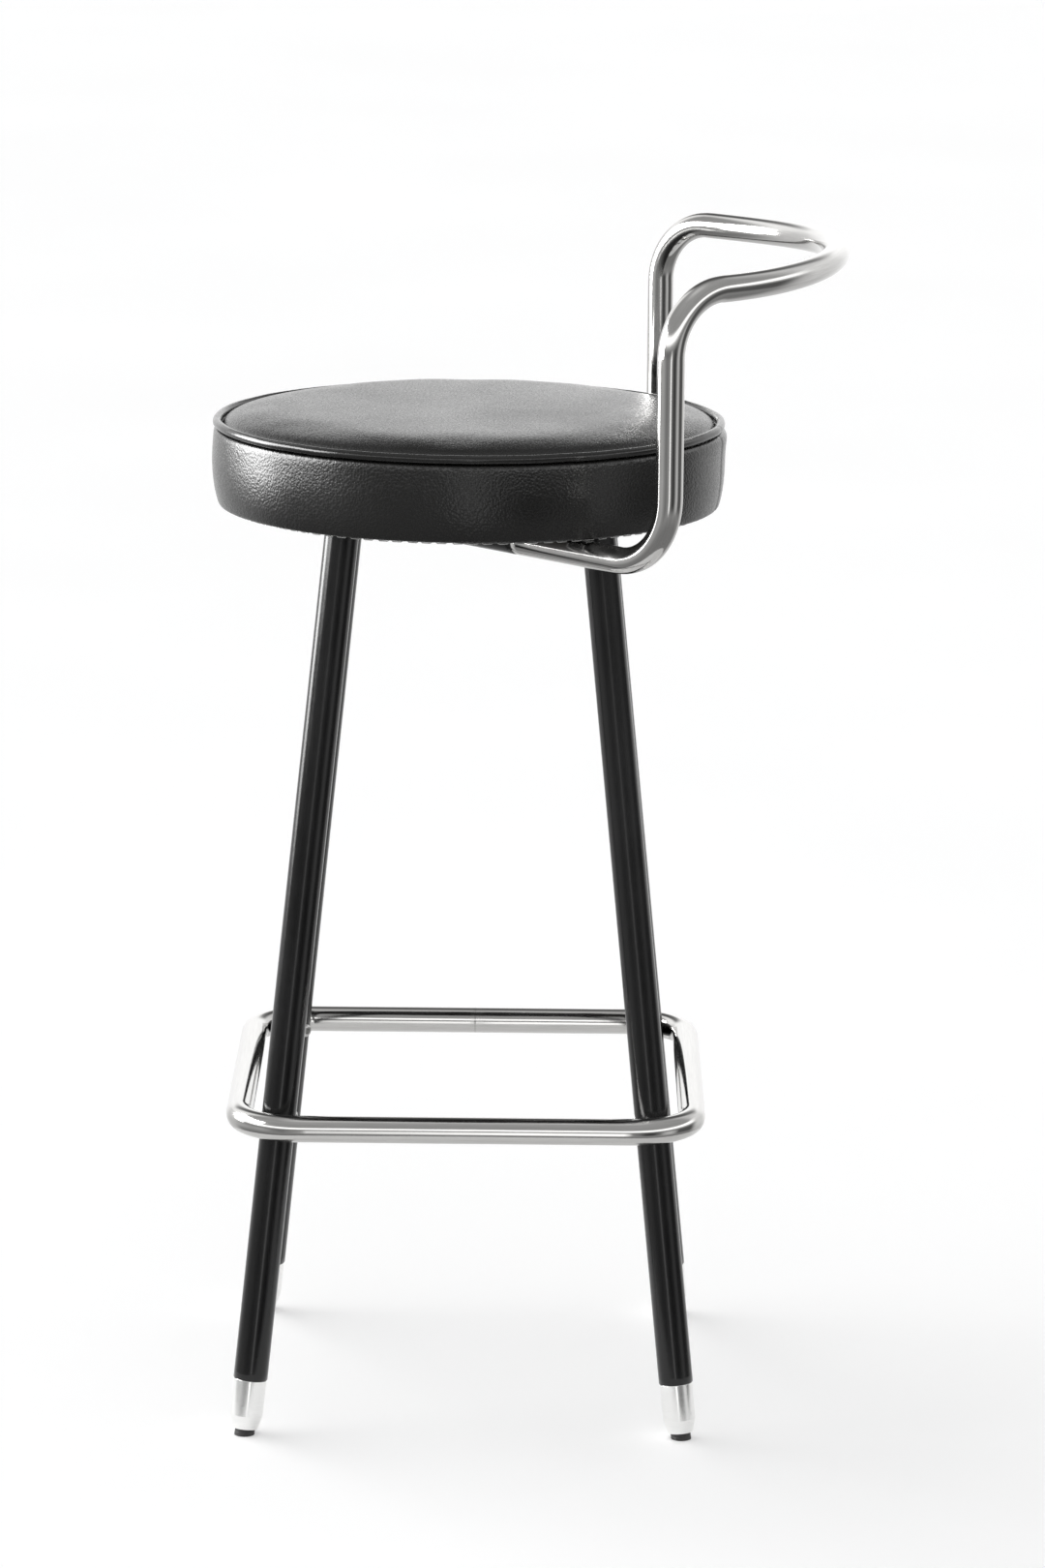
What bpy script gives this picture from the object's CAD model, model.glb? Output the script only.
"""Looks of the bar stool: a round black leather seat on four splayed painted legs, with a stainless footrest
ring and a low stainless back hoop. Metres, +Z up; the seat faces -Y and the hoop stands at +Y."""

from math import atan2, cos, exp, pi, radians, sin, sqrt, tan, tau
import random

import bmesh
import bpy
from mathutils import Matrix, Vector, noise


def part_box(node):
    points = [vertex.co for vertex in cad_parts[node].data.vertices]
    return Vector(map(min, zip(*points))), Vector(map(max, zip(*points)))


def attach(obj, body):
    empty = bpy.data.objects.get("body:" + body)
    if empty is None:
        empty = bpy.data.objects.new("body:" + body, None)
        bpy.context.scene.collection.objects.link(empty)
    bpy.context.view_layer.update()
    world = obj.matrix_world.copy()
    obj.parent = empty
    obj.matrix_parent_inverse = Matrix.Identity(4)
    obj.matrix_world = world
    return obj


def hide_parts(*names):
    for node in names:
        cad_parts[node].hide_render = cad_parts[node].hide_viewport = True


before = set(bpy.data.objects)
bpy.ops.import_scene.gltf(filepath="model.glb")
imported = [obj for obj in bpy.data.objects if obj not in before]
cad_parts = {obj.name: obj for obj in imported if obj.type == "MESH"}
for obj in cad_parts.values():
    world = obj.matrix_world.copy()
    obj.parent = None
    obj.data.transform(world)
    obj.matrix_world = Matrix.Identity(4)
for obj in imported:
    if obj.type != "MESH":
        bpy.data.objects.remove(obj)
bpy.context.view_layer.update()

# ---- sizes, from the frame
FIT_GAP = 0.0003
CORNERS = (("front_left", 1, -1), ("front_right", -1, -1), ("rear_left", 1, 1), ("rear_right", -1, 1))
SIDES = (("left", 1), ("right", -1))


def size_of(node):
    low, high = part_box(node)
    return high - low


def middle_of(node):
    low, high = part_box(node)
    return (low + high) / 2


def spun(turn, radius=1.0, height=0.0, centre=(0, 0)):
    """A point on a level circle."""
    return Vector((centre[0] + radius * cos(turn), centre[1] + radius * sin(turn), height))


# Leg frame
AXIS_Y = middle_of("mounting_plate").y  # the leg frame's vertical axis
LEG_RADIUS = 0.0135
LEG_WALL = 0.0015
LEG_FOOT = 0.1728  # leg axis at the floor, along X and along Y
LEG_SPLAY = 0.1022  # metres inwards along X and along Y per metre up
PLATE_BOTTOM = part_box("mounting_plate")[0].z
PLATE_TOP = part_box("mounting_plate")[1].z
PLATE_SIDE = size_of("mounting_plate").x
PLATE_CORNER = 0.030
PLATE_HOLE = 0.030
FRAME_TOP = PLATE_BOTTOM - FIT_GAP

# Feet, along a leg's axis from the floor
FERRULE_RADIUS = 0.0130
FERRULE_TOP = 0.0447
FERRULE_SHOULDER = 0.0158
FERRULE_TIP = 0.0051
FERRULE_TIP_RADIUS = 0.0100
GLIDE_RADIUS = 0.0080

# Steel tube
TUBE_RADIUS = size_of("footrest_ring").z / 2
TUBE_WALL = 0.0015
RING_Z = middle_of("footrest_ring").z
RING_HALF = size_of("footrest_ring").x / 2 - TUBE_RADIUS
HOOP_ARC_RADIUS = 0.262
HOOP_ARC_CENTRE_Y = 0.0235  # from the frame's axis
HOOP_ARC_START = radians(39.6)
HOOP_TOP_Z = 0.9183
HOOP_RISE = 0.005
HOOP_TOP_BEND = 0.050
HOOP_ARM_BEND = 0.054
ARM_ANGLE = radians(46.7)
ARM_JOINT = 0.1655
ARM_END = 0.285
ARM_Z = FRAME_TOP - TUBE_RADIUS
BRACE = 0.006  # from a straight tube's end to its next ring of points
BEND_STEPS = 26  # rings of points in a right-angle bend
ARC_STEPS = 36  # and in half of the hoop's curved top
FLATTENING = 0.0011  # how much a bend squeezes the tube, over the bend's radius

# Seat
SEAT_Y = middle_of("seat_piping").y  # the seat's own vertical axis
PIPING_RADIUS = size_of("seat_piping").z / 2
PIPING_Z = middle_of("seat_piping").z
PIPING_RING = size_of("seat_piping").x / 2 - PIPING_RADIUS
CROWN_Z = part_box("seat_top_panel")[1].z
CROWN_EDGE = PIPING_RING - PIPING_RADIUS - FIT_GAP
CROWN_SEAM_Z = PIPING_Z - 0.0027
CROWN_FLATNESS = 8  # how level the crown stays before it falls to its seam
CROWN_FALL = 2.2  # how steeply it falls there
SEAT_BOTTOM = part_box("seat_side_band")[0].z
BAND_RADIUS = 0.2044
BAND_FOOT_RADIUS = 0.1975
BAND_WIDEST_Z = 0.7578
HEM_RADIUS = 0.1900
HEM_EDGE = 0.1750
REAR_BULGE = 0.0024  # how far the band stands out at the back, under the piping
REAR_BULGE_Z = 0.7745
REAR_BULGE_HEIGHT = 0.006
REAR_BULGE_WIDTH = radians(24)
BELLY_STEPS = 11
HEM_STEPS = 4
LEATHER = 0.0014
FOAM_IN = 0.003  # the foam's sides, inside the cover's outline
BASE_RADIUS = size_of("seat_base").x / 2
BASE_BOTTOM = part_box("seat_base")[0].z
BASE_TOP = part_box("seat_base")[1].z
HEM_Z = BASE_BOTTOM - FIT_GAP - LEATHER
SEAM_TURN = radians(79)  # where the band's seam is, from +X towards +Y
SEAM_DEPTH = 0.0016
SEAM_WIDTH = 0.0015
STAPLES = 104
SETTLING = 20  # frames in which a cover swells
EVENING = 30  # passes that even out how far a cover has swelled
STAPLE_RING = 0.1945
STAPLE_HALF = 0.0038
STAPLE_LEG = 0.0022
STAPLE_WIRE = 0.0004

# Screws
SCREW_RADIUS = 0.003
SLEEVE_LENGTH = 0.010
SCREW_HEAD_RADIUS = 0.0055
SCREW_HEAD = 0.003
SCREW_SOCKET = 0.0020
SCREW_PITCH = 0.001
SEAT_BOLT_X = 0.055
SEAT_BOLT_Y = 0.095
SEAT_BOLT_HOLE = 0.0033

# Weld beads' radii, and where the arms' beads run
LEG_BEAD = 0.0022
LEG_BEAD_STEPS = 150
ARM_BEAD = 0.0021
ARM_BEAD_STEPS = 90
ARM_BEAD_OUT = 0.0052
ARM_BEAD_START = 0.026
ARM_BEAD_SHORTER = 0.030
BEAD_SIDES = 10

# How finely round pieces are made
PINHOLE = 0.0002  # turned pieces start this far from their axis
FLOOR_SIDES = 128
DISC_SIDES = 120
FERRULE_SIDES = 72
LEG_SIDES = 64
TUBE_SIDES = 56
ARM_SIDES = 48
GLIDE_SIDES = 48
HOLE_SIDES = 48
HEAD_SIDES = 36
SHANK_SIDES = 20
PANEL_GRID = 88
BAND_SIDES = 416
PIPING_STEPS = 360
PIPING_SIDES = 24

UP = Vector((0, 0, 1))


def link(made):
    bpy.context.scene.collection.objects.link(made)


# ---- camera, light and floor
CAMERA_PLACE = Vector((4.9744, 0.0107, 1.5381))
CAMERA_PITCH = 0.2074
CAMERA_YAW = 0.0026
CAMERA_ROLL = 0.0091
CAMERA_LENS = 145.5
WINDOW_Y = -2.16
WINDOWS = (("window", -0.70, 1.30, (1.16, 1.30), 17), ("window_foot", -0.53, 0.58, (0.85, 0.14), 13),
           ("window_sill", -0.53, 0.43, (0.85, 0.16), 6), ("window_beside", 0.44, 1.36, (1.12, 1.12), 14))
FLOOR_SHOWN = 0.5  # the radius of floor that shows in reflections
FLOOR_REACH = 90


def make_camera():
    """Nearly level with the seat, from the stool's left side (+X), with the hoop on the right."""
    forward = Vector((-cos(CAMERA_YAW) * cos(CAMERA_PITCH),
                      -sin(CAMERA_YAW) * cos(CAMERA_PITCH), -sin(CAMERA_PITCH)))
    level = Vector((-sin(CAMERA_YAW), cos(CAMERA_YAW), 0))
    upward = level.cross(forward)
    right = cos(CAMERA_ROLL) * level + sin(CAMERA_ROLL) * upward
    up = cos(CAMERA_ROLL) * upward - sin(CAMERA_ROLL) * level
    data = bpy.data.cameras.new("camera")
    data.lens = CAMERA_LENS
    data.sensor_width = 36
    data.sensor_fit = "AUTO"
    data.clip_end = 200
    camera = bpy.data.objects.new("camera", data)
    turned = Matrix((right, up, -forward)).transposed().to_4x4()
    camera.matrix_world = Matrix.Translation(CAMERA_PLACE) @ turned
    link(camera)
    bpy.context.scene.camera = camera


class Nodes:
    """Short ways to add nodes to a tree. A value is a number, a vector or another node's socket."""

    def __init__(self, tree):
        self.tree = tree

    def node(self, kind, **values):
        made = self.tree.nodes.new(kind)
        for key, value in values.items():
            setattr(made, key, value)
        return made

    def feed(self, socket, value):
        if isinstance(value, bpy.types.NodeSocket):
            self.tree.links.new(value, socket)
        else:
            socket.default_value = value

    def split(self, vector):
        made = self.node("ShaderNodeSeparateXYZ")
        self.feed(made.inputs[0], vector)
        return made.outputs

    def calc(self, operation, first, second=0.0, third=0.0):
        made = self.node("ShaderNodeMath", operation=operation)
        for socket, value in zip(made.inputs, (first, second, third)):
            self.feed(socket, value)
        return made.outputs[0]

    def add(self, first, second):
        return self.calc("ADD", first, second)

    def times(self, first, second):
        return self.calc("MULTIPLY", first, second)

    def remap(self, value, low, high, to_low=0.0, to_high=1.0, **settings):
        made = self.node("ShaderNodeMapRange", **settings)
        self.feed(made.inputs["Value"], value)
        limits = {"From Min": low, "From Max": high, "To Min": to_low, "To Max": to_high}
        for socket, limit in limits.items():
            made.inputs[socket].default_value = limit
        return made.outputs["Result"]

    def ramp(self, value, stops):
        made = self.node("ShaderNodeValToRGB")
        while len(made.color_ramp.elements) < len(stops):
            made.color_ramp.elements.new(0.5)
        for element, (place, colour) in zip(made.color_ramp.elements, stops):
            element.position = place
            element.color = (*colour, 1)
        self.feed(made.inputs["Fac"], value)
        return made.outputs["Color"]

    def mix(self, share, first, second):
        made = self.node("ShaderNodeMix", data_type="RGBA")
        self.feed(made.inputs["Factor"], share)
        for socket, value in ((made.inputs[6], first), (made.inputs[7], second)):
            self.feed(socket, value if isinstance(value, bpy.types.NodeSocket) else (*value, 1))
        return made.outputs[2]


def make_world():
    """A bright sweep behind and to the sides, a dim ceiling, and a darker room on +X.

    Each ramp has a brightness for some angles in degrees: up from level, or round from +X for around.
    """
    world = bpy.data.worlds.new("studio")
    bpy.context.scene.world = world
    world.use_nodes = True
    sky = Nodes(world.node_tree)
    sky.tree.nodes.clear()
    x, y, z = sky.split(sky.node("ShaderNodeTexCoord").outputs["Generated"])
    elevation = sky.calc("MULTIPLY_ADD", sky.calc("ARCSINE", z), 1 / pi, 0.5)
    turn = sky.calc("MULTIPLY_ADD", sky.calc("ARCTAN2", y, x), 0.5 / pi, 0.5)

    def ramp(value, whole, *stops):
        return sky.ramp(value, [(0.5 + degrees / whole, (level,) * 3) for degrees, level in stops])

    def fade(value, low, high):
        return sky.remap(value, low, high, interpolation_type="SMOOTHSTEP")

    def rising(low, high):
        return fade(elevation, 0.5 + low / 180, 0.5 + high / 180)

    below = ((-90, 0.6), (-25, 0.8))
    above = ((84, 0.55), (90, 0.9))
    behind = ramp(elevation, 180, *below, (-8, 1.15), (17, 1.6), (25, 0.35), (36, 0.12), (66, 0.22), *above)
    duller = ramp(elevation, 180, *below, (-8, 1.0), (20, 1.2), (48, 0.8), (66, 0.3), *above)
    lighter = ramp(elevation, 180, *below, (-8, 0.9), (12, 1.1), (22, 1.6), (58, 1.6), (72, 0.5), *above)
    beside = sky.mix(fade(y, -0.1, -0.5), duller, lighter)
    front = ramp(elevation, 180, (-90, 0.3), (-40, 0.3), (-18, 0.45), (-8, 0.35), (0, 0.12), (9, 0.7),
                 (13, 2.4), (20, 2.4), (25, 0.5), (41, 0.5), (70, 0.56), (86, 0.9), (90, 0.9))
    around = ramp(turn, 360, (-180, 1.2), (-140, 0.9), (-110, 0.7), (-80, 0.55), (-62, 0.6), (-52, 0.5),
                  (-42, 0.36), (-28, 0.28), (-14, 0.42), (-5, 0.5), (1, 2.6), (7, 0.4), (16, 0.25),
                  (24, 0.08), (36, 0.08), (46, 0.25), (56, 0.75), (66, 0.8), (74, 0.5), (79, 0.14),
                  (106, 0.14), (118, 0.6), (140, 0.9), (180, 1.2))
    low = sky.times(rising(-28, -16), rising(5, -5))
    near = sky.mix(low, front, around)
    depth = sky.calc("MAXIMUM", sky.times(x, -1), 0.05)
    off_centre = sky.calc("ABSOLUTE", sky.calc("DIVIDE", y, depth))
    far = sky.mix(fade(off_centre, 0.35, 0.75), behind, beside)
    shade = sky.node("ShaderNodeBackground")
    sky.feed(shade.inputs["Color"], sky.mix(fade(x, -0.30, -0.62), near, far))
    sky.feed(sky.node("ShaderNodeOutputWorld").inputs[0], shade.outputs[0])


def make_window(name, place, size, brightness):
    """An upright soft panel that faces the stool, seen only in the gloss of its pieces."""
    data = bpy.data.lights.new(name, "AREA")
    data.shape = "RECTANGLE"
    data.size, data.size_y = size
    data.energy = brightness * pi * size[0] * size[1]
    light = bpy.data.objects.new(name, data)
    light.location = place
    towards = Vector((-place[0], AXIS_Y - place[1], 0))
    light.rotation_euler = towards.to_track_quat("-Z", "Y").to_euler()
    light.visible_camera = False
    light.visible_diffuse = False
    link(light)


def make_daylight():
    """Wide soft light from the window's side, for the floor and its faint shadows."""
    data = bpy.data.lights.new("daylight", "SUN")
    data.energy = 0.75
    data.angle = radians(50)
    light = bpy.data.objects.new("daylight", data)
    light.rotation_euler = Vector((0.35, 0.75, -1.0)).to_track_quat("-Z", "Y").to_euler()
    light.visible_glossy = False
    link(light)


def make_floor():
    """The pale floor: a disc that shows in reflections, and a far part that doesn't."""
    for name, inner, outer, reflected in (("floor", 0, FLOOR_SHOWN, True),
                                          ("floor_far", FLOOR_SHOWN, FLOOR_REACH, False)):
        shape = bmesh.new()
        turns = [tau * i / FLOOR_SIDES for i in range(FLOOR_SIDES)]
        rim = [shape.verts.new(spun(turn, outer)) for turn in turns]
        if inner:
            hole = [shape.verts.new(spun(turn, inner)) for turn in turns]
            for i in range(FLOOR_SIDES):
                k = (i + 1) % FLOOR_SIDES
                shape.faces.new((hole[i], rim[i], rim[k], hole[k]))
        else:
            shape.faces.new(rim)
        mesh = bpy.data.meshes.new(name)
        shape.to_mesh(mesh)
        shape.free()
        mesh.materials.append(FLOOR)
        disc = bpy.data.objects.new(name, mesh)
        disc.visible_glossy = reflected
        link(disc)


# ---- materials
class Look(Nodes):
    """A node material while it is put together. Coordinates are the frame's metres."""

    def __init__(self, name, colour, roughness, **settings):
        self.material = bpy.data.materials.new(name)
        self.material.use_nodes = True
        super().__init__(self.material.node_tree)
        self.shader = self.tree.nodes["Principled BSDF"]
        self.shader.inputs["Base Color"].default_value = (*colour, 1)
        self.shader.inputs["Roughness"].default_value = roughness
        for socket, value in settings.items():
            self.shader.inputs[socket.replace("_", " ")].default_value = value

    def place(self, stretch=(1, 1, 1)):
        """Where a point is in the frame, with each axis scaled."""
        scaled = self.node("ShaderNodeVectorMath", operation="MULTIPLY")
        self.feed(scaled.inputs[0], self.node("ShaderNodeTexCoord").outputs["Object"])
        scaled.inputs[1].default_value = stretch
        return scaled.outputs[0]

    def unrolled(self):
        """The share of a turn round a rolled surface, and the length along it."""
        return self.split(self.node("ShaderNodeUVMap", uv_map="surface").outputs[0])[:2]

    def wrapped(self, radius, along):
        """Where a point is on a rolled surface, with its length along the roll scaled by along."""
        share, length = self.unrolled()
        turn = self.times(share, tau)
        joined = self.node("ShaderNodeCombineXYZ")
        self.feed(joined.inputs[0], self.times(self.calc("COSINE", turn), radius))
        self.feed(joined.inputs[1], self.times(self.calc("SINE", turn), radius))
        self.feed(joined.inputs[2], self.times(length, along))
        return joined.outputs[0]

    def noise(self, place, scale, detail=3.0, roughness=0.5, distortion=0.0):
        made = self.node("ShaderNodeTexNoise")
        self.feed(made.inputs["Vector"], place)
        settings = {"Scale": scale, "Detail": detail, "Roughness": roughness, "Distortion": distortion}
        for socket, setting in settings.items():
            made.inputs[socket].default_value = setting
        return made.outputs["Fac"]

    def cells(self, place, scale, feature="SMOOTH_F1", smoothness=0.4):
        made = self.node("ShaderNodeTexVoronoi", feature=feature)
        self.feed(made.inputs["Vector"], place)
        made.inputs["Scale"].default_value = scale
        if feature == "SMOOTH_F1":
            made.inputs["Smoothness"].default_value = smoothness
        return made.outputs["Distance"]

    def bump(self, height, distance, strength=1.0, under=None):
        """A bumped normal, on top of another one where there is one."""
        made = self.node("ShaderNodeBump")
        self.feed(made.inputs["Height"], height)
        made.inputs["Distance"].default_value = distance
        made.inputs["Strength"].default_value = strength
        if under is not None:
            self.feed(made.inputs["Normal"], under)
        return made.outputs["Normal"]

    def finish(self, colour, roughness=None, normal=None):
        """Give the shader what varies over the surface."""
        for socket, value in (("Base Color", colour), ("Roughness", roughness), ("Normal", normal)):
            if value is not None:
                self.feed(self.shader.inputs[socket], value)
        return self.material


def floor_look():
    look = Look("pale_floor", (0.86, 0.86, 0.86), 0.9, Emission_Color=(1, 1, 1, 1), Emission_Strength=0.195)
    spots = look.noise(look.place(), 1.4)
    return look.finish(look.ramp(spots, [(0.3, (0.855, 0.855, 0.857)), (0.7, (0.875, 0.875, 0.877))]))


def steel_look(name, seam_at=None):
    """Drawn stainless tube: fine hairlines, faint clouding and a dressed weld."""
    look = Look(name, (0.50, 0.495, 0.485), 0.11, Metallic=1.0)
    hairs = look.noise(look.wrapped(TUBE_RADIUS, 0.018), 2600, 4, 0.62)
    bands = look.noise(look.wrapped(TUBE_RADIUS, 0.05), 420)
    clouds = look.noise(look.place(), 38)
    streaks = look.mix(0.45, look.ramp(hairs, [(0.25, (0.42, 0.415, 0.405)), (0.75, (0.60, 0.595, 0.585))]),
                       look.ramp(bands, [(0.3, (0.47, 0.465, 0.455)), (0.7, (0.55, 0.545, 0.535))]))
    rough = look.add(look.remap(hairs, 0.2, 0.8, 0.06, 0.13), look.remap(clouds, 0.3, 0.7, 0.0, 0.03))
    normal = look.bump(hairs, 0.000006)
    if seam_at is not None:
        away = look.calc("ABSOLUTE", look.calc("SUBTRACT", look.unrolled()[1], seam_at))
        near = look.remap(away, 0.0009, 0.0003)
        dressed = look.remap(away, 0.016, 0.003)
        streaks = look.mix(look.times(near, 0.30), streaks, (0.20, 0.19, 0.18))
        rough = look.add(rough, look.times(dressed, 0.08))
        normal = look.bump(near, 0.00004, under=normal)
    return look.finish(streaks, rough, normal)


def paint_look():
    """Satin black powder coat: fine sand texture, faint streaks and paler rubbed patches."""
    look = Look("black_powder_coat", (0.006, 0.006, 0.0062), 0.17, Specular_IOR_Level=0.42)
    sand = look.cells(look.place(), 1500)
    peel = look.noise(look.place(), 330)
    streaks = look.noise(look.place((1, 1, 0.02)), 900, 3, 0.6)
    rubbed = look.noise(look.place((1, 1, 0.25)), 26, 5, 0.6)
    worn = look.add(look.times(rubbed, 0.7), look.times(streaks, 0.3))
    colour = look.ramp(worn, [(0.38, (0.0030, 0.0030, 0.0032)), (0.66, (0.0080, 0.0080, 0.0083))])
    rough = look.add(look.remap(rubbed, 0.3, 0.7, 0.13, 0.19), look.remap(streaks, 0.3, 0.7, 0, 0.04))
    return look.finish(colour, rough, look.bump(peel, 0.000030, under=look.bump(sand, 0.000010)))


def leather_look(name, grain_scale, fold_stretch, roughness, grain):
    """Black hide: pebble grain, coarser creases, soft folds and a waxed finish."""
    look = Look(name, (0.005, 0.0048, 0.0046), roughness, Coat_Weight=0.10, Coat_Roughness=0.20,
                Specular_IOR_Level=0.42)
    pebbles = look.cells(look.place(), grain_scale)
    creases = look.noise(look.place(), grain_scale * 0.45)
    folds = look.noise(look.place(fold_stretch), 34, 4, 0.55, 0.6)
    clouds = look.noise(look.place(), 11)
    tint = look.ramp(clouds, [(0.3, (0.0035, 0.0034, 0.0032)), (0.7, (0.0065, 0.0063, 0.0060))])
    colour = look.mix(look.remap(pebbles, 0.1, 0.6), (0.0085, 0.0083, 0.0079), tint)
    rough = look.add(look.remap(pebbles, 0.1, 0.7, roughness - 0.06, roughness + 0.09),
                     look.remap(clouds, 0.3, 0.7, -0.03, 0.04))
    normal = look.bump(creases, grain * 0.3, under=look.bump(pebbles, grain))
    return look.finish(colour, rough, look.bump(folds, 0.00045, 0.4, normal))


def ferrule_look():
    """Turned aluminium: fine rings left by the tool, and brighter polished bands."""
    look = Look("turned_aluminium", (0.86, 0.86, 0.85), 0.22, Metallic=1.0)
    rings = look.noise(look.wrapped(FERRULE_RADIUS * 0.02, 1.0), 5200, 3, 0.6)
    smears = look.noise(look.wrapped(FERRULE_RADIUS, 0.25), 180)
    colour = look.ramp(rings, [(0.3, (0.80, 0.80, 0.79)), (0.7, (0.93, 0.93, 0.92))])
    rough = look.add(look.remap(rings, 0.3, 0.7, 0.12, 0.20), look.remap(smears, 0.3, 0.7, 0, 0.06))
    return look.finish(colour, rough, look.bump(rings, 0.000003))


def rubber_look():
    look = Look("black_rubber", (0.016, 0.016, 0.016), 0.6)
    specks = look.noise(look.place(), 2400)
    worn = look.noise(look.place(), 210)
    colour = look.ramp(worn, [(0.35, (0.012, 0.012, 0.012)), (0.7, (0.026, 0.025, 0.024))])
    return look.finish(colour, look.remap(worn, 0.3, 0.7, 0.52, 0.70), look.bump(specks, 0.00006))


def zinc_look():
    """Zinc-plated steel, with crystals in the plating."""
    look = Look("zinc_plate", (0.55, 0.55, 0.54), 0.32, Metallic=1.0)
    spangle = look.cells(look.place(), 900, "F1")
    dust = look.noise(look.place(), 140, 4)
    colour = look.mix(look.remap(spangle, 0, 0.7), (0.62, 0.62, 0.62), (0.46, 0.46, 0.45))
    rough = look.add(look.remap(spangle, 0, 0.7, 0.22, 0.34), look.remap(dust, 0.3, 0.7, 0, 0.1))
    return look.finish(colour, rough, look.bump(spangle, 0.00002))


def plywood_look():
    """Black-stained birch veneer: long grain, paler growth lines and short pores."""
    look = Look("stained_plywood", (0.012, 0.011, 0.010), 0.55)
    warp = look.noise(look.place((1, 0.25, 1)), 14)
    lines = look.noise(look.place((1, 0.045, 1)), 160, 5, 0.6, 0.4)
    pores = look.noise(look.place((1, 0.06, 1)), 1300, 2)
    grain = look.add(look.times(lines, 0.7), look.times(warp, 0.3))
    stain = look.ramp(grain, [(0.32, (0.007, 0.006, 0.005)), (0.45, (0.013, 0.011, 0.009)),
                              (0.60, (0.024, 0.019, 0.014)), (0.75, (0.015, 0.012, 0.010))])
    colour = look.mix(look.remap(pores, 0.62, 0.72, 0, 0.6), stain, (0.003, 0.003, 0.003))
    normal = look.bump(look.calc("SUBTRACT", lines, pores), 0.00012)
    return look.finish(colour, look.remap(lines, 0.3, 0.7, 0.50, 0.68), normal)


def foam_look():
    look = Look("seat_foam", (0.80, 0.74, 0.55), 0.9)
    holes = look.cells(look.place(), 1100)
    patches = look.noise(look.place(), 60)
    colour = look.ramp(patches, [(0.3, (0.74, 0.67, 0.47)), (0.7, (0.84, 0.78, 0.60))])
    return look.finish(colour, look.remap(holes, 0, 0.6, 0.95, 0.8), look.bump(holes, 0.0004))


FLOOR = floor_look()
STEEL = steel_look("brushed_stainless")
STEEL_RING = steel_look("brushed_stainless_ring", seam_at=0.004)
PAINT = paint_look()
HIDE = leather_look("black_leather", 560, (1, 1, 1), 0.24, 0.00020)
HIDE_BAND = leather_look("black_leather_band", 520, (1, 1, 0.35), 0.22, 0.00023)
HIDE_PIPING = leather_look("black_leather_piping", 1100, (1, 1, 1), 0.15, 0.00003)
FERRULE = ferrule_look()
RUBBER = rubber_look()
ZINC = zinc_look()
PLYWOOD = plywood_look()
FOAM = foam_look()


# ---- mesh helpers
def piece(name, mesh, look, slot, *replaced):
    """Link a finished mesh as a piece of the stool that stands for CAD nodes."""
    made = bpy.data.objects.new(name, mesh)
    mesh.name = name
    mesh.materials.clear()
    mesh.materials.append(look)
    link(made)
    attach(made, "root")
    if replaced:
        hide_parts(*replaced)
    return made


def shaded(mesh, sharp=50):
    """Shade a mesh smooth, but for edges sharper than some degrees."""
    mesh.shade_smooth()
    mesh.set_sharp_from_angle(angle=radians(sharp))
    return mesh


def skin(rings, joined=False, sharp=50):
    """A mesh over rings of points, with the share of a turn and the length along it as its UV map."""
    sides = len(rings[0])
    spans = len(rings) if joined else len(rings) - 1
    lengths = [0.0]
    for i in range(spans):
        after = rings[(i + 1) % len(rings)]
        lengths.append(lengths[-1] + sum((a - b).length for a, b in zip(rings[i], after)) / sides)
    faces = []
    corners = []
    for i in range(spans):
        after = (i + 1) % len(rings)
        for j in range(sides):
            k = (j + 1) % sides
            faces.append((i * sides + j, i * sides + k, after * sides + k, after * sides + j))
            corners += [j / sides, lengths[i], (j + 1) / sides, lengths[i],
                        (j + 1) / sides, lengths[i + 1], j / sides, lengths[i + 1]]
    mesh = bpy.data.meshes.new("skin")
    mesh.from_pydata([point for ring in rings for point in ring], [], faces)
    mesh.uv_layers.new(name="surface").data.foreach_set("uv", corners)
    shape = bmesh.new()
    shape.from_mesh(mesh)
    bmesh.ops.remove_doubles(shape, verts=shape.verts, dist=0.000002)
    bmesh.ops.recalc_face_normals(shape, faces=shape.faces)
    shape.to_mesh(mesh)
    shape.free()
    return shaded(mesh, sharp)


def merge(meshes):
    """Several meshes with the same UV map as one."""
    shape = bmesh.new()
    for mesh in meshes:
        shape.from_mesh(mesh)
    joined = bpy.data.meshes.new("merged")
    shape.to_mesh(joined)
    shape.free()
    return shaded(joined)


def bend(before, corner, after, radius, steps):
    """Points of the arc that rounds one corner of a path."""
    corner = Vector(corner)
    to_before = (Vector(before) - corner).normalized()
    to_after = (Vector(after) - corner).normalized()
    half = to_before.angle(to_after) / 2
    centre = corner + (to_before + to_after).normalized() * radius / sin(half)
    start = corner + to_before * radius / tan(half) - centre
    axis = to_after.cross(to_before).normalized()
    sweep = pi - 2 * half
    return [centre + Matrix.Rotation(sweep * i / steps, 3, axis) @ start for i in range(steps + 1)]


def hoops(path, radius, sides, closed=False, flatten=0.0):
    """Rings of points round a path, squeezed a little where it bends."""
    count = len(path)
    side = None
    rings = []
    for i, point in enumerate(path):
        before = path[i - 1] if i or closed else point
        after = path[(i + 1) % count] if i < count - 1 or closed else point
        heading = (after - before).normalized()
        if side is None:
            side = heading.orthogonal().normalized() if abs(heading.z) > 0.9 else UP
        side = (side - heading * side.dot(heading)).normalized()
        other = heading.cross(side)
        squeeze = Vector()
        if flatten and before != point and after != point:
            into, out = (point - before), (after - point)
            squeeze = (out.normalized() - into.normalized()) / ((into.length + out.length) / 2) * flatten
        ring = []
        for j in range(sides):
            turn = tau * j / sides
            spoke = side * cos(turn) + other * sin(turn)
            pull = spoke.dot(squeeze.normalized()) * radius if squeeze.length else 0
            ring.append(point + spoke * radius - squeeze * pull)
        rings.append(ring)
    return rings


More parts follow.
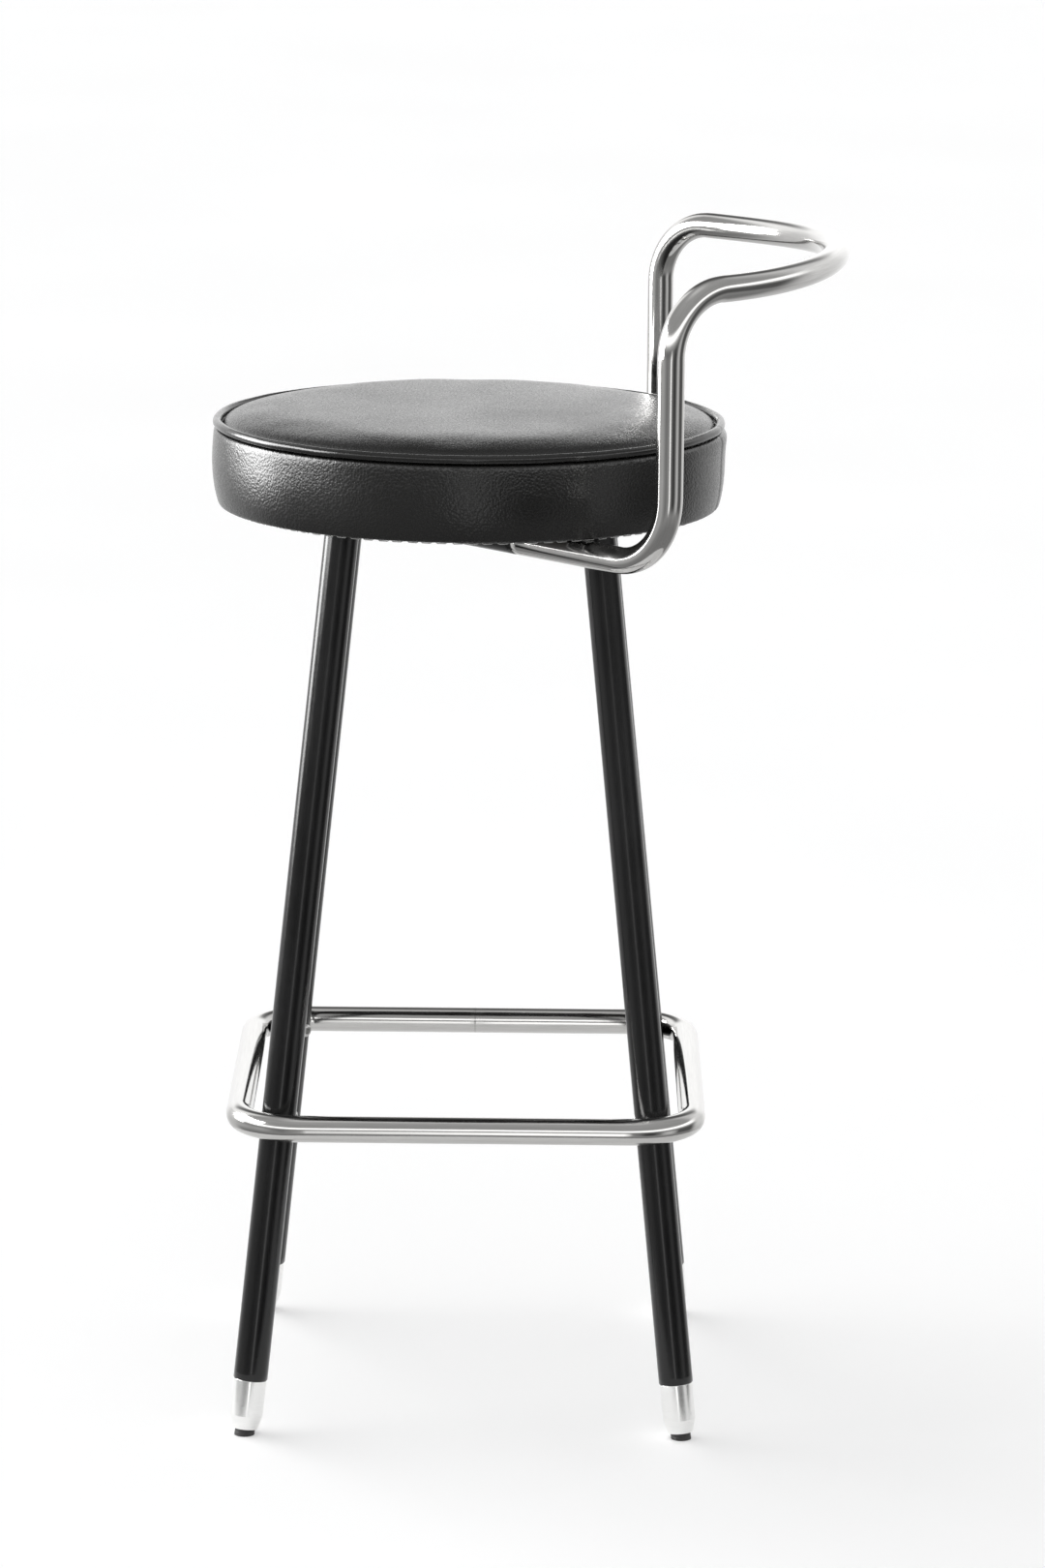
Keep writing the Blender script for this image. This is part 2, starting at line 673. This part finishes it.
def scaled(rings, path, swell):
    """Rings made larger or smaller about their path's points."""
    return [[middle + (point - middle) * swell(i) for point in ring]
            for i, (middle, ring) in enumerate(zip(path, rings))]


def braced(path, closed):
    """A path with two more points in each long straight, so that it is shaded as straight."""
    out = []
    for point, after in zip(path, path[1:] + path[:1] if closed else path[1:]):
        out.append(point)
        gap = after - point
        if gap.length > 3 * BRACE:
            out += [point + gap.normalized() * BRACE, after - gap.normalized() * BRACE]
    return out if closed else out + [path[-1]]


def pipe(path, radius, wall, sides, closed=False, flatten=0.0):
    """A hollow tube along a path, with eased ends."""
    path = braced(path, closed)
    outside = hoops(path, radius, sides, closed, flatten)
    inside = hoops(path, radius - wall, sides, closed, flatten)
    if closed:
        return merge([skin(outside, True), skin(inside, True)])
    ease = wall * 0.3
    for first in (True, False):
        middle, after, ring = (path[0], path[1], outside[0]) if first else (path[-1], path[-2], outside[-1])
        inward = (after - middle).normalized() * ease
        outer = [point + inward for point in ring]
        edge = [middle + (point - middle) * (radius - ease) / radius for point in ring]
        outside = [edge, outer] + outside[1:] if first else outside[:-1] + [outer, edge]
    return skin(outside + list(reversed(inside)), True)


def lathe(profile, sides, axis, foot):
    """A profile of (radius, height) turned about an axis that stands on a point."""
    turn = axis.to_track_quat("Z", "Y").to_matrix()
    rings = [[foot + turn @ spun(tau * j / sides, radius, height) for j in range(sides)]
             for radius, height in profile]
    return skin(rings, sharp=35)


def eased(profile, reach, steps=4):
    """A profile with its inner corners rounded off, and a point beside each rounding."""
    out = [profile[0]]
    for before, corner, after in zip(profile, profile[1:], profile[2:]):
        a, b, c = (Vector((*point, 0)) for point in (before, corner, after))
        near = min(reach, (a - b).length * 0.3, (c - b).length * 0.3)
        first, last = b + (a - b).normalized() * near, b + (c - b).normalized() * near
        rounding = [b + (first - b) * 1.5]
        for i in range(steps + 1):
            share = i / steps
            rounding.append(first.lerp(b, share).lerp(b.lerp(last, share), share))
        rounding.append(b + (last - b) * 1.5)
        out += [(point.x, point.y) for point in rounding]
    return out + [profile[-1]]


# ---- the leg frame's geometry
def leg_point(sx, sy, height):
    reach = LEG_FOOT - LEG_SPLAY * height
    return Vector((sx * reach, AXIS_Y + sy * reach, height))


def leg_axis(sx, sy):
    return (leg_point(sx, sy, 1) - leg_point(sx, sy, 0)).normalized()


LEG_LEAN = sqrt(1 + 2 * LEG_SPLAY ** 2)
LEG_DIAGONAL = sqrt(2) * (LEG_FOOT - LEG_SPLAY * RING_Z)
RING_DIAGONAL = LEG_DIAGONAL + (LEG_RADIUS + TUBE_RADIUS + FIT_GAP) * LEG_LEAN
RING_CORNER = (sqrt(2) * RING_HALF - RING_DIAGONAL) / (sqrt(2) - 1)


def make_leg(corner, sx, sy):
    axis = leg_axis(sx, sy)
    path = [leg_point(sx, sy, 0) + axis * (FERRULE_TOP + FIT_GAP), leg_point(sx, sy, FRAME_TOP)]
    mesh = pipe(path, LEG_RADIUS, LEG_WALL, LEG_SIDES)
    cut_z = FRAME_TOP - BRACE / 2
    for vert in mesh.vertices:
        if vert.co.z > cut_z:
            vert.co += axis * (FRAME_TOP - vert.co.z) / axis.z
    piece("leg_tube_" + corner, mesh, PAINT, "black_paint", "leg_" + corner)


def make_leg_weld(corner, sx, sy):
    """The rippled bead round the top of a leg, under the plate."""
    centre = leg_point(sx, sy, PLATE_BOTTOM - 0.0012)
    axis = leg_axis(sx, sy)
    rng = random.Random(corner)
    path = []
    for i in range(LEG_BEAD_STEPS):
        spoke = spun(tau * i / LEG_BEAD_STEPS)
        spoke -= axis * spoke.dot(axis)
        spoke = spoke.normalized() * (LEG_RADIUS + 0.0004)
        spoke -= axis * spoke.z / axis.z
        path.append(centre + spoke)
    ripples = [1 + 0.13 * abs(sin(pi * i * 13 / 75)) + rng.uniform(-0.03, 0.03)
               for i in range(LEG_BEAD_STEPS)]
    rings = scaled(hoops(path, LEG_BEAD, BEAD_SIDES, True), path, lambda i: ripples[i])
    piece("leg_weld_" + corner, skin(rings, True, sharp=80), PAINT, "black_paint")


def make_ferrule(corner, sx, sy):
    profile = [(PINHOLE, FERRULE_TOP), (FERRULE_RADIUS, FERRULE_TOP), (FERRULE_RADIUS, FERRULE_SHOULDER),
               (FERRULE_TIP_RADIUS, FERRULE_TIP), (PINHOLE, FERRULE_TIP)]
    mesh = lathe(eased(profile, 0.0003), FERRULE_SIDES, leg_axis(sx, sy), leg_point(sx, sy, 0))
    piece("ferrule_cup_" + corner, mesh, FERRULE, "ferrule_metal", "ferrule_" + corner)


def make_glide(corner, sx, sy):
    """A rubber foot with a moulded groove round it, cut level at the floor."""
    axis = leg_axis(sx, sy)
    top = FERRULE_TIP - FIT_GAP
    groove = GLIDE_RADIUS - 0.0003
    profile = [(PINHOLE, top), (GLIDE_RADIUS - 0.0006, top), (GLIDE_RADIUS, top - 0.0006),
               (GLIDE_RADIUS, 0.0030), (groove, 0.0027), (groove, 0.0023), (GLIDE_RADIUS, 0.0020),
               (GLIDE_RADIUS, -0.0012), (PINHOLE, -0.0030)]
    mesh = lathe(eased(profile, 0.0003, 2), GLIDE_SIDES, axis, leg_point(sx, sy, 0))
    for vert in mesh.vertices:
        if vert.co.z < 0:
            vert.co -= axis * vert.co.z / axis.z
    piece("glide_pad_" + corner, mesh, RUBBER, "glide_rubber", "glide_" + corner)


# ---- footrest
def make_footrest():
    path = [Vector((-RING_HALF, 0, 0))]
    corner = (RING_HALF, -RING_HALF, 0)
    for quarter in range(4):
        turn = Matrix.Rotation(pi - quarter * pi / 2, 3, "Z")
        arc = bend((RING_HALF, 0, 0), corner, (0, -RING_HALF, 0), RING_CORNER, BEND_STEPS)
        path += [turn @ point for point in arc]
    path = [point + Vector((0, AXIS_Y, RING_Z)) for point in path]
    mesh = pipe(path, TUBE_RADIUS, TUBE_WALL, TUBE_SIDES, closed=True, flatten=FLATTENING)
    piece("footrest_tube", mesh, STEEL_RING, "stainless_tube", "footrest_ring")


def screw_head(foot, heading):
    """A button head with a hex socket, standing on a surface and facing along heading."""
    rim_radius = SCREW_SOCKET * 1.5
    profile = [(SCREW_HEAD_RADIUS, 0)]
    for i in range(1, 9):
        angle = pi / 2 * i / 8
        profile.append((SCREW_HEAD_RADIUS - (SCREW_HEAD_RADIUS - rim_radius) * (1 - cos(angle)),
                        SCREW_HEAD * sin(angle)))
    head = lathe(profile, HEAD_SIDES, heading, foot)
    turn = heading.to_track_quat("Z", "Y").to_matrix()
    shape = bmesh.new()
    shape.from_mesh(head)
    layer = shape.loops.layers.uv.verify()

    def angle_of(vert):
        return atan2(*((turn.transposed() @ (vert.co - foot)).yx))

    def hexagon(height):
        corners = []
        for vert in rim:
            angle = angle_of(vert)
            reach = SCREW_SOCKET / cos(angle % (pi / 3) - pi / 6)
            corners.append(shape.verts.new(foot + turn @ spun(angle, reach, height)))
        return corners

    top = [edge for edge in shape.edges
           if edge.is_boundary and (edge.verts[0].co - foot).dot(heading) > SCREW_HEAD * 0.9]
    rim = sorted({vert for edge in top for vert in edge.verts}, key=angle_of)
    upper, lower = hexagon(SCREW_HEAD), hexagon(SCREW_HEAD * 0.25)
    for i in range(HEAD_SIDES):
        k = (i + 1) % HEAD_SIDES
        shape.faces.new((rim[i], rim[k], upper[k], upper[i]))
        shape.faces.new((upper[i], upper[k], lower[k], lower[i]))
    shape.faces.new(lower)
    bmesh.ops.recalc_face_normals(shape, faces=shape.faces)
    for face in shape.faces:
        for loop in face.loops:
            if loop[layer].uv.length == 0:
                loop[layer].uv = (0.5, 0.001)
    shape.to_mesh(head)
    shape.free()
    return shaded(head, 35)


def screw(foot, heading, length):
    """A screw: its head and, behind it, its threaded shank with a pointed end."""
    turns = int((length - SCREW_RADIUS) / SCREW_PITCH)
    crest, root = SCREW_RADIUS * 0.98, SCREW_RADIUS * 0.88
    profile = [(crest, 0.0)]
    for i in range(turns):
        profile += [(crest, -SCREW_PITCH * (i + 0.6)), (root, -SCREW_PITCH * (i + 1.0))]
    profile += [(SCREW_RADIUS * 0.7, -length + 0.0003), (PINHOLE, -length)]
    return merge([screw_head(foot, heading), lathe(profile, SHANK_SIDES, heading, foot)])


def make_footrest_screw(corner, sx, sy):
    inward = Vector((-sx, -sy, 0)).normalized()
    side = LEG_DIAGONAL / sqrt(2)
    place = Vector((sx * side, AXIS_Y + sy * side, RING_Z)) + inward * (LEG_RADIUS * LEG_LEAN + 0.0006)
    length = LEG_RADIUS * LEG_LEAN + RING_DIAGONAL - LEG_DIAGONAL - TUBE_RADIUS + SLEEVE_LENGTH - 0.001
    mesh = screw(place, inward, length)
    piece("footrest_screw_hex_" + corner, mesh, ZINC, "zinc", "footrest_screw_" + corner)


# ---- back hoop and arms
ARC_CENTRE = (0, HOOP_ARC_CENTRE_Y)
ARC_START = spun(HOOP_ARC_START, HOOP_ARC_RADIUS, HOOP_TOP_Z, ARC_CENTRE)
ARC_HEADING = Vector((-sin(HOOP_ARC_START), cos(HOOP_ARC_START), 0))
UPRIGHT_TOP = ARC_START - ARC_HEADING * HOOP_TOP_BEND
UPRIGHT_FOOT = Vector((UPRIGHT_TOP.x, UPRIGHT_TOP.y, ARM_Z))
ARM_HEADING = Vector((-sin(ARM_ANGLE), -cos(ARM_ANGLE), 0))


def beside(point, side):
    """A point given from the seat's axis for +X, on either side, in the frame."""
    return Vector((side * point.x, AXIS_Y + point.y, point.z))


def arm_point(side, distance):
    return beside(UPRIGHT_FOOT + ARM_HEADING * distance, side)


def make_hoop():
    joint = UPRIGHT_FOOT + ARM_HEADING * (ARM_JOINT - FIT_GAP)
    half = [joint] + bend(joint, UPRIGHT_FOOT, UPRIGHT_TOP, HOOP_ARM_BEND, BEND_STEPS)
    half += bend(UPRIGHT_FOOT, UPRIGHT_TOP, ARC_START, HOOP_TOP_BEND, BEND_STEPS)
    for i in range(1, ARC_STEPS + 1):
        share = i / ARC_STEPS
        angle = HOOP_ARC_START + (pi / 2 - HOOP_ARC_START) * share
        height = HOOP_TOP_Z + HOOP_RISE * sin(pi / 2 * share) ** 2
        half.append(spun(angle, HOOP_ARC_RADIUS, height, ARC_CENTRE))
    path = [beside(point, 1) for point in half] + [beside(point, -1) for point in reversed(half[:-1])]
    mesh = pipe(path, TUBE_RADIUS, TUBE_WALL, TUBE_SIDES, flatten=FLATTENING)
    piece("hoop_tube", mesh, STEEL, "stainless_tube", "back_hoop")


def make_arm(name, side):
    path = [arm_point(side, ARM_JOINT + 0.0002), arm_point(side, ARM_END)]
    mesh = pipe(path, TUBE_RADIUS, TUBE_WALL, ARM_SIDES)
    piece("arm_tube_" + name, mesh, PAINT, "black_paint", "arm_" + name)


def make_arm_weld(name, side):
    """Two rippled beads where an arm meets the plate."""
    across = (arm_point(side, 1) - arm_point(side, 0)).cross(UP).normalized()
    steps = ARM_BEAD_STEPS

    def swell(i):
        return (1 + 0.14 * abs(sin(pi * i * 0.23))) * min(1, 0.3 + i / 4, 0.3 + (steps - i) / 4)

    meshes = []
    for turn in (1, -1):
        path = []
        for i in range(steps + 1):
            distance = ARM_JOINT + ARM_BEAD_START + (ARM_END - ARM_JOINT - ARM_BEAD_SHORTER) * i / steps
            up = Vector((0, 0, TUBE_RADIUS - 0.0014))
            path.append(arm_point(side, distance) + across * turn * ARM_BEAD_OUT + up)
        meshes.append(skin(scaled(hoops(path, ARM_BEAD, BEAD_SIDES), path, swell), sharp=80))
    piece("arm_weld_" + name, merge(meshes), PAINT, "black_paint")


# ---- plate, bolts and base
def make_plate():
    """The steel plate, with eased edges, its centre hole and its bolt holes."""
    curve = bpy.data.curves.new("plate", "CURVE")
    curve.dimensions = "2D"
    curve.fill_mode = "BOTH"
    ease = 0.0004
    curve.extrude = (PLATE_TOP - PLATE_BOTTOM) / 2 - ease
    curve.bevel_depth = ease
    curve.bevel_resolution = 1
    curve.offset = -ease
    half = PLATE_SIDE / 2
    outline = []
    for quarter in range(4):
        turn = Matrix.Rotation(quarter * pi / 2, 3, "Z")
        arc = bend((half, 0, 0), (half, half, 0), (0, half, 0), PLATE_CORNER, 16)
        outline += [turn @ point for point in arc]
    loops = [outline]
    holes = [((0, 0), PLATE_HOLE)]
    holes += [((sx * SEAT_BOLT_X, sy * SEAT_BOLT_Y), SEAT_BOLT_HOLE) for corner, sx, sy in CORNERS]
    for centre, radius in holes:
        loops.append([spun(tau * i / HOLE_SIDES, radius, 0, centre) for i in range(HOLE_SIDES)])
    for loop in loops:
        spline = curve.splines.new("POLY")
        spline.points.add(len(loop) - 1)
        for spot, point in zip(spline.points, loop):
            spot.co = (point.x, point.y, 0, 1)
        spline.use_cyclic_u = True
    guide = bpy.data.objects.new("plate", curve)
    link(guide)
    mesh = bpy.data.meshes.new_from_object(guide.evaluated_get(bpy.context.evaluated_depsgraph_get()))
    bpy.data.objects.remove(guide)
    mesh.transform(Matrix.Translation((0, AXIS_Y, (PLATE_TOP + PLATE_BOTTOM) / 2)))
    mesh.set_sharp_from_angle(angle=radians(50))
    piece("fixing_plate", mesh, PAINT, "black_paint", "mounting_plate")


def make_seat_bolt(corner, sx, sy):
    place = Vector((sx * SEAT_BOLT_X, AXIS_Y + sy * SEAT_BOLT_Y, PLATE_BOTTOM - 0.0001))
    mesh = screw(place, -UP, BASE_TOP - 0.001 - PLATE_BOTTOM)
    piece("seat_bolt_hex_" + corner, mesh, ZINC, "zinc", "seat_bolt_" + corner)


def make_base():
    """The plywood disc, with a rounded edge."""
    profile = [(PINHOLE, BASE_BOTTOM), (BASE_RADIUS, BASE_BOTTOM), (BASE_RADIUS, BASE_TOP),
               (PINHOLE, BASE_TOP)]
    mesh = lathe(eased(profile, 0.0015), DISC_SIDES, UP, Vector((0, SEAT_Y, 0)))
    piece("base_disc", mesh, PLYWOOD, "plywood", "seat_base")


# ---- upholstery
def seat_point(turn, radius, height):
    return spun(turn, radius, height, (0, SEAT_Y))


def wavering(turn, speed, seed, strength):
    """A smooth closed variation round the seat."""
    return strength * noise.noise(Vector((cos(turn) * speed, sin(turn) * speed, seed)))


def swell(made, held, pressure, cap):
    """Let a cover fill out, held at its seams, then keep the result, evened out."""
    scene = bpy.context.scene
    start = [vert.co.copy() for vert in made.data.vertices]
    seam = made.vertex_groups.new(name="seam")
    seam.add(held, 1.0, "REPLACE")
    cloth = made.modifiers.new("cover", "CLOTH")
    for key, value in (("quality", 6), ("mass", 0.4), ("tension_stiffness", 40),
                       ("compression_stiffness", 40), ("shear_stiffness", 20), ("bending_stiffness", 2.0),
                       ("use_pressure", True), ("uniform_pressure_force", pressure),
                       ("vertex_group_mass", "seam")):
        setattr(cloth.settings, key, value)
    cloth.settings.effector_weights.gravity = 0
    cloth.collision_settings.use_collision = False
    cloth.point_cache.frame_start = 1
    cloth.point_cache.frame_end = SETTLING
    for step in range(1, SETTLING + 1):
        scene.frame_set(step)
    settled = made.evaluated_get(bpy.context.evaluated_depsgraph_get())
    found = [vert.co.copy() for vert in settled.data.vertices]
    made.modifiers.remove(cloth)
    made.vertex_groups.remove(seam)
    scene.frame_set(1)
    shifts = [new - old for old, new in zip(start, found)]
    shifts = [shift * min(1, cap / max(shift.length, 1e-9)) for shift in shifts]
    beside_it = [[] for vert in made.data.vertices]
    for edge in made.data.edges:
        a, b = edge.vertices
        beside_it[a].append(b)
        beside_it[b].append(a)
    for _ in range(EVENING):
        shifts = [(shifts[i] + sum((shifts[k] for k in near), Vector()) / len(near)) / 2
                  for i, near in enumerate(beside_it)]
    for i in held:
        shifts[i] = Vector()
    for vert, old, shift in zip(made.data.vertices, start, shifts):
        vert.co = old + shift


def smooth_and_thicken(made, levels, thickness):
    """Subdivide a cover and give it the leather's thickness, as finished mesh."""
    finer = made.modifiers.new("finer", "SUBSURF")
    finer.levels = finer.render_levels = levels
    thick = made.modifiers.new("thick", "SOLIDIFY")
    thick.thickness = thickness
    thick.offset = -1
    mesh = bpy.data.meshes.new_from_object(made.evaluated_get(bpy.context.evaluated_depsgraph_get()))
    made.modifiers.clear()
    made.data = mesh
    mesh.shade_smooth()


def crown_height(share):
    rise = max(0.0, 1 - share ** CROWN_FLATNESS) ** (1 / CROWN_FALL)
    return CROWN_SEAM_Z + (CROWN_Z - CROWN_SEAM_Z) * rise


def make_top_panel():
    """The round top panel: a grid bent into a disc, low-crowned, with a quick roll-off at its seam."""
    across = PANEL_GRID
    points = []
    for row in range(across + 1):
        for column in range(across + 1):
            a, b = 2 * column / across - 1, 2 * row / across - 1
            reach = max(abs(a), abs(b))
            if reach == 0:
                turn = 0
            elif abs(a) >= abs(b):
                turn = pi / 4 * b / a + (pi if a < 0 else 0)
            else:
                turn = pi / 2 - pi / 4 * a / b + (pi if b < 0 else 0)
            share = 1 - (1 - reach) ** 1.5 if reach < 1 else 1
            loose = 1 - share ** CROWN_FLATNESS
            dip = wavering(turn, share * 1.6, 5.0, 0.0003) - 0.0010
            points.append(seat_point(turn, CROWN_EDGE * share, crown_height(share) + dip * loose))
    firsts = [row * (across + 1) + column for row in range(across) for column in range(across)]
    faces = [(first, first + 1, first + across + 2, first + across + 1) for first in firsts]
    mesh = bpy.data.meshes.new("cover")
    mesh.from_pydata(points, [], faces)
    made = piece("top_panel_cover", mesh, HIDE, "leather", "seat_top_panel")
    rim = [i for i in range(len(points)) if {0, across} & set(divmod(i, across + 1))]
    swell(made, rim, 3.0, 0.0012)
    smooth_and_thicken(made, 1, LEATHER * 0.8)


def band_outline():
    """The side band's outside as (radius, height), from under the piping down and in to the hem's edge."""
    seam = PIPING_Z - PIPING_RADIUS - FIT_GAP
    tuck = PIPING_RADIUS + FIT_GAP
    outline = [(PIPING_RING + tuck * cos(angle), PIPING_Z + tuck * sin(angle))
               for angle in map(radians, (210, 238, 265))]
    outline += [(PIPING_RING + 0.0012, seam - 0.0006), (BAND_RADIUS - 0.0029, seam - 0.0010),
                (BAND_RADIUS - 0.0019, seam - 0.0026), (BAND_RADIUS - 0.0012, seam - 0.0065),
                (BAND_RADIUS - 0.0005, seam - 0.0125)]
    for i in range(BELLY_STEPS + 1):
        angle = pi / 2 * (1 - i / BELLY_STEPS)
        outline.append((BAND_FOOT_RADIUS + (BAND_RADIUS - BAND_FOOT_RADIUS) * sin(angle),
                        SEAT_BOTTOM + (BAND_WIDEST_Z - SEAT_BOTTOM) * (1 - cos(angle))))
    outline.append(((BAND_FOOT_RADIUS + HEM_RADIUS) / 2, (SEAT_BOTTOM * 2 + HEM_Z) / 3))
    for i in range(HEM_STEPS + 1):
        outline.append((HEM_RADIUS + (HEM_EDGE - HEM_RADIUS) * i / HEM_STEPS, HEM_Z))
    return outline


def make_side_band():
    """The side band: sewn under the piping, pulled down over the base's edge and gathered under it."""
    outline = band_outline()
    sides = BAND_SIDES
    foot_row = len(outline) - HEM_STEPS - 3
    points = []
    for row, (radius, height) in enumerate(outline):
        for j in range(sides):
            turn = tau * j / sides
            below = max(0.0, min(1.0, (row - foot_row + 4) / 4))
            inner = max(0, row - foot_row) / (HEM_STEPS + 2)
            gather = sin(turn * STAPLES + wavering(turn, 9, 1.0, 2.2))
            gather *= 0.6 + wavering(turn, 17, 2.0, 0.8)
            gather *= 0.55 + 0.45 * sin(turn + 0.3)
            out = wavering(turn, 3.0, 3.0 + height * 14, 0.0008) * max(0, min(1, (row - 3) / 5))
            out += gather * 0.0005 * below * (1 - inner)
            lift = -abs(gather) * 0.0006 * inner + gather * 0.00045 * below * (1 - inner)
            ragged = wavering(turn, 26, 7.0, 0.0035) * inner if row == len(outline) - 1 else 0
            inset = 0.0010 * (1 - below) * max(0, min(1, (row - 4) / 3))
            if row > 4:
                rear = (turn - pi / 2) / REAR_BULGE_WIDTH
                rise = (height - REAR_BULGE_Z) / REAR_BULGE_HEIGHT
                out += REAR_BULGE * exp(-rear ** 2 - rise ** 2)
            points.append(seat_point(turn, radius + out + ragged - inset, height + lift))
    faces = []
    for row in range(len(outline) - 1):
        for j in range(sides):
            k = (j + 1) % sides
            faces.append((row * sides + j, (row + 1) * sides + j, (row + 1) * sides + k, row * sides + k))
    mesh = bpy.data.meshes.new("cover")
    mesh.from_pydata(points, [], faces)
    made = piece("side_band_cover", mesh, HIDE_BAND, "leather", "seat_side_band")
    held = [i for i in range(len(points)) if i // sides < 5 or i // sides >= foot_row]
    swell(made, held, 4.0, 0.0015)
    sew_band(made)
    smooth_and_thicken(made, 1, LEATHER * 0.8)


def sew_band(made):
    """Press the band's vertical seam into it."""
    centre = seat_point(SEAM_TURN, BAND_RADIUS, 0)
    out = (centre - Vector((0, SEAT_Y, 0))).normalized()
    along = Vector((-out.y, out.x, 0))
    for vert in made.data.vertices:
        offset = vert.co - centre
        if offset.dot(out) >= -0.05:
            vert.co -= out * (SEAM_DEPTH * exp(-(offset.dot(along) / SEAM_WIDTH) ** 2))


def make_piping():
    """The leather-covered cord sewn between the panels, with its ends meeting at the back."""
    rings = []
    for i in range(PIPING_STEPS):
        turn = tau * i / PIPING_STEPS
        out = spun(turn)
        radius = PIPING_RADIUS * (1 + wavering(turn, 30, 4.0, 0.03))
        away = abs((turn - SEAM_TURN + pi) % tau - pi) * PIPING_RING
        radius *= 1 - 0.10 * exp(-(away / 0.0012) ** 2)
        centre = seat_point(turn, PIPING_RING + wavering(turn, 6, 8.0, 0.0003),
                            PIPING_Z + wavering(turn, 5, 9.0, 0.0004))
        ring = []
        for j in range(PIPING_SIDES):
            angle = tau * j / PIPING_SIDES
            crease = 0.00025 * exp(-((angle - pi * 1.5) / 0.35) ** 2)
            ring.append(centre + (out * cos(angle) + UP * sin(angle)) * (radius - crease))
        rings.append(ring)
    made = piece("piping_cord", skin(rings, True), HIDE_PIPING, "leather", "seat_piping")


def make_foam():
    """The pad inside the cover."""
    gap = LEATHER + 0.0014
    bottom = BASE_TOP + 0.0018
    profile = [(PINHOLE, crown_height(0) - gap)]
    profile += [((CROWN_EDGE - FOAM_IN) * i / 30, crown_height(i / 30) - gap) for i in range(3, 31)]
    profile += [(radius - FOAM_IN, height) for radius, height in band_outline()[6:]
                if height > bottom + 0.001]
    profile += [(BAND_FOOT_RADIUS - FOAM_IN, bottom), (PINHOLE, bottom)]
    mesh = lathe(profile, DISC_SIDES, UP, Vector((0, SEAT_Y, 0)))
    made = piece("foam_pad", mesh, FOAM, "foam", "seat_foam")


def make_staples():
    """The staples that hold the gathered hem to the base."""
    rng = random.Random(12)
    meshes = []
    for i in range(STAPLES):
        turn = tau * (i + 0.5) / STAPLES + rng.uniform(-0.004, 0.004)
        centre = seat_point(turn, STAPLE_RING + rng.uniform(-0.0006, 0.0004), SEAT_BOTTOM - 0.0009)
        twist = turn + pi / 2 + rng.uniform(-0.10, 0.10)
        along = spun(twist)
        up = Vector((0, 0, STAPLE_LEG))
        half, flat = along * STAPLE_HALF, along * (STAPLE_HALF - 0.0006)
        path = [centre - half + up, centre - half + up * 0.2, centre - flat,
                centre + flat, centre + half + up * 0.2, centre + half + up]
        meshes.append(skin(hoops(path, STAPLE_WIRE, 8)))
    piece("hem_staples", merge(meshes), ZINC, "zinc")


# ---- the stool
make_camera()
make_world()
make_floor()
for window_name, window_x, window_z, window_size, window_brightness in WINDOWS:
    make_window(window_name, (window_x, WINDOW_Y, window_z), window_size, window_brightness)
make_daylight()
bpy.context.scene.view_settings.view_transform = "Standard"

for corner_name, x_sign, y_sign in CORNERS:
    make_leg(corner_name, x_sign, y_sign)
    make_leg_weld(corner_name, x_sign, y_sign)
    make_ferrule(corner_name, x_sign, y_sign)
    make_glide(corner_name, x_sign, y_sign)
    make_footrest_screw(corner_name, x_sign, y_sign)
    make_seat_bolt(corner_name, x_sign, y_sign)
make_footrest()
make_hoop()
for side_name, side_sign in SIDES:
    make_arm(side_name, side_sign)
    make_arm_weld(side_name, side_sign)
make_plate()
make_base()
make_foam()
make_top_panel()
make_side_band()
make_piping()
make_staples()

for node_name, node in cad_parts.items():
    if node_name.startswith(("arm_spigot", "arm_set_screw", "tee_nut", "footrest_sleeve")):
        for slot in node.material_slots:
            slot.material = ZINC
